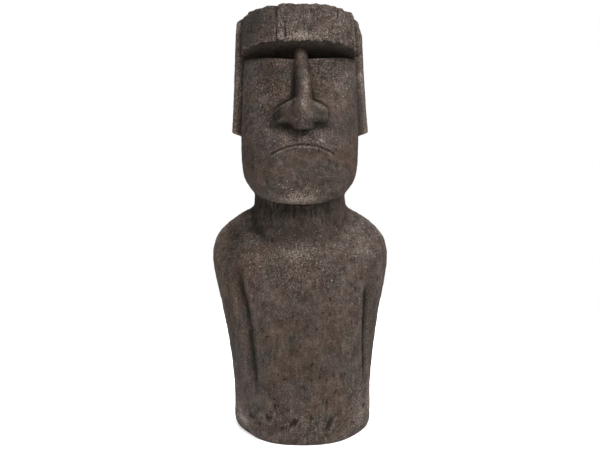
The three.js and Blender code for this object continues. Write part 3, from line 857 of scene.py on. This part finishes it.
def shelter_masks(mesh, grid):
    """How far the skin stands out of, or sinks into, the same skin smoothed."""
    count, columns = grid
    points = np.empty(len(mesh.vertices) * 3, np.float32)
    mesh.vertices.foreach_get("co", points)
    normals = np.empty(len(mesh.vertices) * 3, np.float32)
    mesh.vertex_normals.foreach_get("vector", normals)
    rings = points.reshape(-1, 3)[: count * columns].reshape(count, columns, 3).astype(float)
    out = normals.reshape(-1, 3)[: count * columns].reshape(count, columns, 3)

    def smoothed(values, passes):
        for _ in range(passes):
            around = np.roll(values, 1, axis=1) + np.roll(values, -1, axis=1)
            padded = np.concatenate((values[:1], values, values[-1:]))
            values = (around + padded[2:] + padded[:-2] + values) / 5
        return values

    masks = {}
    for name, passes in SHELTER_PASSES:
        standing = ((rings - smoothed(rings, passes)) * out).sum(-1)
        masks[name] = np.concatenate((standing.ravel(), (0, 0)))
    return masks


# Colours of the stain, the dry-brushed wear and painted highlights, and the grime and painted shade.
STONE_DARK = (0.0125, 0.0074, 0.0048, 1)
STONE_MID = (0.0615, 0.0432, 0.0362, 1)
STONE_WARM = (0.0715, 0.0465, 0.0345, 1)
STONE_COOL = (0.057, 0.0445, 0.0395, 1)
STONE_LICHEN = (0.046, 0.046, 0.034, 1)
STONE_SPECK = (0.50, 0.45, 0.41, 1)
STONE_PALE = (0.28, 0.225, 0.19, 1)
STONE_MOSSY = (0.0128, 0.0114, 0.0072, 1)
STONE_SHEEN = 0.13

# Patterns in the stain: repeats in a metre, detail, roughness.
WARM_PATCHES = (11.0, 4.0, 0.5)
COOL_PATCHES = (17.0, 5.0, 0.6)
LICHEN_PATCHES = (23.0, 4.0, 0.6)
BLOTCHES = (42.0, 3.0, 0.55)
MOTTLE = (95.0, 4.0, 0.65)
STREAKS = (210.0, 2.0, 0.6)
GRAIN = (400.0, 3.0, 0.75)
FLECKS_IN_METRE = 150.0
SPECKS_IN_METRE = 260.0
FLECK_STRETCH = 0.45

# Ramps, each read as: from this value, to this value, gives this much, to this much.
RAMPS = {
    "warm": (0.45, 0.62, 0.0, 1.0),
    "cool": (0.48, 0.62, 0.0, 1.0),
    "lichen": (0.54, 0.66, 0.0, 0.6),
    "mottle strength": (0.0, 1.0, 0.42, 0.85),
    "mottle": (0.35, 0.65, -0.5, 0.5),
    "grain strength": (0.0, 1.0, 0.75, 2.4),
    "grain": (0.3, 0.7, -0.5, 0.5),
    "streaks": (0.35, 0.65, -0.5, 0.5),
    "dark share": (0.0, -0.75, 0.0, 0.85),
    "light share": (0.1, 0.85, 0.0, 0.55),
    "dark blotches": (0.52, 0.66, 0.0, 0.42),
    "pale blotches": (0.47, 0.34, 0.0, 0.11),
    "fleck size": (0.0, 0.35, 0.42, 0.0),
    "fine edges": (0.0002, 0.0008, 0.0, 1.0),
    "broad edges": (0.0040, 0.0110, 0.0, 1.0),
    "bared": (0.0, 1.0, 1.0, 0.25),
    "brush marks": (0.42, 0.60, 0.0, 1.0),
    "specks on rough": (0.2, 1.0, 0.0, 0.06),
    "speck middle": (0.5, 0.1, 0.0, 0.5),
    # Grime and painted shade in the hollows, fine and broad.
    "fine grime and shade": (-0.0002, -0.0012, 0.0, 0.6),
    "broad grime and shade": (-0.0030, -0.0140, 0.0, 0.9),
    "neck streaks": (0.35, 0.65, 0.25, 1.0),
    "dark mottle": (0.4, 0.6, 0.35, 1.05),
    "most darkening": (0.0, 1.0, 0.95, 0.66),
    "moss": (0.4, 0.6, 0.0, 1.0),
    "dullness": (0.3, 0.7, 0.68, 0.95),
}
OCHRE_GAIN = 0.2
STREAK_STRENGTH = 0.22
FLECK_STRENGTH = 0.75
BRUSH_STRENGTH = 0.5
SPECKS_ON_WEAR = 0.22
STREAK_RELIEF = 1.2
RELIEF_STRENGTH = 0.7
RELIEF_DEPTH = 0.0016


def blended(tree, factor, first, second):
    """One colour laid over another."""
    inputs = {0: factor, 6: first, 7: second}
    return wire(tree, "ShaderNodeMix", inputs, output=2, data_type="RGBA")


def ramped(tree, value, low, high, start, end):
    """A value brought from one range into another and held inside it."""
    inputs = {"Value": value, "From Min": low, "From Max": high, "To Min": start, "To Max": end}
    return wire(tree, "ShaderNodeMapRange", inputs)


def stone_noise(tree, where, scale, detail, roughness):
    """A soft random pattern fixed to the stone."""
    inputs = {"Vector": where, "Scale": scale, "Detail": detail, "Roughness": roughness}
    return wire(tree, "ShaderNodeTexNoise", inputs)


def stone_cells(tree, where, scale):
    """The distance to the middle of each random spot, and a random number for it."""
    spots = wire(tree, "ShaderNodeTexVoronoi", {"Vector": where, "Scale": scale}).node
    drawn = wire(tree, "ShaderNodeSeparateColor", {"Color": spots.outputs["Color"]})
    return spots.outputs["Distance"], drawn


def stone_material():
    """Dark brown-grey stain, dry-brushed edges and painted highlights, near-black grime and painted shade.
    """
    material = bpy.data.materials.new("cast_stone")
    material.use_nodes = True
    tree = material.node_tree
    shader = tree.nodes["Principled BSDF"]
    where = wire(tree, "ShaderNodeTexCoord", output="Object")

    def mask(name):
        return wire(tree, "ShaderNodeAttribute", output="Fac", attribute_name=name)

    def ramp(name, value):
        return ramped(tree, value, *RAMPS[name])

    def times(first, second):
        return math_node(tree, "MULTIPLY", first, second)

    def plus(first, second):
        return math_node(tree, "ADD", first, second)

    def stretched(share):
        inputs = {0: where, 1: (1, 1, share)}
        return wire(tree, "ShaderNodeVectorMath", inputs, operation="MULTIPLY")

    rough = mask("rough")
    fine = mask("fine_standing")
    broad = mask("broad_standing")
    cool_patches = stone_noise(tree, where, *COOL_PATCHES)
    mottle = stone_noise(tree, where, *MOTTLE)
    grain = stone_noise(tree, where, *GRAIN)
    streaks = stone_noise(tree, stretched(STREAK_STRETCH), *STREAKS)
    blotches = stone_noise(tree, where, *BLOTCHES)

    # The stain, in warm, cool and greenish patches.
    warm_patches = stone_noise(tree, where, *WARM_PATCHES)
    warm_patches = math_node(tree, "MULTIPLY_ADD", mask("ochre"), OCHRE_GAIN, warm_patches)
    colour = blended(tree, ramp("warm", warm_patches), STONE_MID, STONE_WARM)
    colour = blended(tree, ramp("cool", cool_patches), colour, STONE_COOL)
    lichen = ramp("lichen", stone_noise(tree, where, *LICHEN_PATCHES))
    colour = blended(tree, lichen, colour, STONE_LICHEN)

    # Light and dark in the sand of the skin.
    shade = times(ramp("mottle", mottle), ramp("mottle strength", rough))
    grain_shade = times(ramp("grain", grain), ramp("grain strength", rough))
    streak_shade = times(times(ramp("streaks", streaks), STREAK_STRENGTH), mask("fibre"))
    shade = plus(plus(shade, grain_shade), streak_shade)
    colour = blended(tree, ramp("dark blotches", blotches), colour, STONE_DARK)
    colour = blended(tree, ramp("pale blotches", blotches), colour, STONE_PALE)
    colour = blended(tree, ramp("dark share", shade), colour, STONE_DARK)
    fleck_distance, fleck_drawn = stone_cells(tree, stretched(FLECK_STRETCH), FLECKS_IN_METRE)
    flecked = math_node(tree, "LESS_THAN", fleck_distance, ramp("fleck size", fleck_drawn))
    colour = blended(tree, times(flecked, FLECK_STRENGTH), colour, STONE_DARK)
    colour = blended(tree, ramp("light share", shade), colour, STONE_PALE)

    # Dry-brushing on whatever stands out, pale places of wear and painted highlights, and pale specks there.
    wear_and_highlight = mask("wear_and_highlight")
    standing = plus(ramp("fine edges", fine), ramp("broad edges", broad))
    standing = plus(times(standing, ramp("bared", mask("kept"))), wear_and_highlight)
    brushed_and_highlit = times(times(standing, ramp("brush marks", grain)), BRUSH_STRENGTH)
    colour = blended(tree, brushed_and_highlit, colour, STONE_PALE)
    speck_distance, speck_drawn = stone_cells(tree, where, SPECKS_IN_METRE)
    rough_specks = ramp("specks on rough", rough)
    speck_share = math_node(tree, "MULTIPLY_ADD", wear_and_highlight, SPECKS_ON_WEAR, rough_specks)
    speck_on = math_node(tree, "LESS_THAN", speck_drawn, speck_share)
    colour = blended(tree, times(speck_on, ramp("speck middle", speck_distance)), colour, STONE_SPECK)

    # Darkening in the hollows, fine and broad, which is partly grime and partly painted shade; painted
    # shadow under the jaw; darker in the pits; stain and painted shade on the dark places; painted shade
    # in the band of the eyes.
    neck_painted_shadow = times(mask("neck_shade"), ramp("neck streaks", streaks))
    sunk = plus(plus(ramp("fine grime and shade", fine), ramp("broad grime and shade", broad)), neck_painted_shadow)
    sunk = plus(sunk, times(mask("dark"), ramp("dark mottle", mottle)))
    eye_shade = mask("eye_shade")
    sunk = plus(plus(sunk, mask("pitted")), eye_shade)
    grime_and_shade = math_node(tree, "MINIMUM", sunk, ramp("most darkening", eye_shade))
    grime_and_shade_colour = blended(tree, ramp("moss", cool_patches), STONE_DARK, STONE_MOSSY)
    colour = blended(tree, grime_and_shade, colour, grime_and_shade_colour)

    height = plus(grain_shade, times(streak_shade, STREAK_RELIEF))
    inputs = {"Strength": RELIEF_STRENGTH, "Distance": RELIEF_DEPTH, "Height": height}
    normal = wire(tree, "ShaderNodeBump", inputs)
    tree.links.new(colour, shader.inputs["Base Color"])
    tree.links.new(ramp("dullness", mottle), shader.inputs["Roughness"])
    tree.links.new(normal, shader.inputs["Normal"])
    shader.inputs["Specular IOR Level"].default_value = STONE_SHEEN
    return material


cast_stone = stone_material()
smooth_mesh, statue_grid = statue_mesh()
statue = bpy.data.objects.new("stone_figure", weathered(smooth_mesh, cast_stone))
bpy.context.scene.collection.objects.link(statue)
for name, values in shelter_masks(statue.data, statue_grid).items():
    set_mask(statue.data, name, values)

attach(statue, "root")
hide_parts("statue")

# ---------------------------------------------------------------------------------------------------
# Studio: a pale floor that meets an even pale surround, and three soft lights, from the right front,
# the left front and above. None of it is part of the statue.
# ---------------------------------------------------------------------------------------------------
FLOOR_RADIUS = 1.7
FLOOR_CORNERS = 96
FLOOR_GAP = 0.0005
FLOOR_COLOUR = (0.93, 0.93, 0.93, 1)
FLOOR_DULLNESS = 0.9
FLOOR_GLOW = 0.5
WHITE = (1, 1, 1, 1)

turn = np.linspace(0, 2 * math.pi, FLOOR_CORNERS, endpoint=False)
rim = np.stack((np.cos(turn), np.sin(turn), 0 * turn), -1) * FLOOR_RADIUS
floor_mesh = bpy.data.meshes.new("floor")
floor_mesh.from_pydata(rim.tolist(), [], [tuple(range(FLOOR_CORNERS))])
floor = bpy.data.objects.new("floor", floor_mesh)
floor.location.z = statue_low.z - FLOOR_GAP
bpy.context.scene.collection.objects.link(floor)
pale_floor = bpy.data.materials.new("pale_floor")
pale_floor.use_nodes = True
floor_shader = pale_floor.node_tree.nodes["Principled BSDF"]
floor_shader.inputs["Base Color"].default_value = FLOOR_COLOUR
floor_shader.inputs["Roughness"].default_value = FLOOR_DULLNESS
floor_shader.inputs["Emission Color"].default_value = WHITE
floor_shader.inputs["Emission Strength"].default_value = FLOOR_GLOW
floor_mesh.materials.append(pale_floor)

# The surround shows as white and lights the figure more softly than it shows.
WORLD_LIGHT = 0.17

world = bpy.data.worlds.new("studio")
world.use_nodes = True
background = world.node_tree.nodes["Background"]
background.inputs["Color"].default_value = WHITE
seen = wire(world.node_tree, "ShaderNodeLightPath", output="Is Camera Ray")
strength = ramped(world.node_tree, seen, 0.0, 1.0, WORLD_LIGHT, 1.0)
world.node_tree.links.new(strength, background.inputs["Strength"])
bpy.context.scene.world = world
bpy.context.scene.view_settings.view_transform = "Standard"


# Lights: name, place, the point each one faces, its two sides, its power in watts.
SOFT_LIGHTS = (
    ("key", (1.2, -2.0, 2.4), (0, 0, 0.5), (1.1, 1.1), 91),
    ("fill", (-1.6, -2.2, 1.2), (0, 0, 0.4), (1.5, 1.5), 8.5),
    ("overhead", (0, 0.7, 3.0), (0, 0.7, 0), (3.2, 3.2), 130),
)


def soft_light(name, place, aim, sides, watts):
    """A lit rectangle turned to face a point."""
    light_data = bpy.data.lights.new(name, "AREA")
    light_data.shape = "RECTANGLE"
    light_data.size, light_data.size_y = sides
    light_data.energy = watts
    light = bpy.data.objects.new(name, light_data)
    light.location = place
    direction = np.array(aim) - np.array(place)
    flat = math.hypot(direction[0], direction[1])
    light.rotation_euler = (math.atan2(flat, -direction[2]), 0, math.atan2(-direction[0], direction[1]))
    bpy.context.scene.collection.objects.link(light)


for light_values in SOFT_LIGHTS:
    soft_light(*light_values)
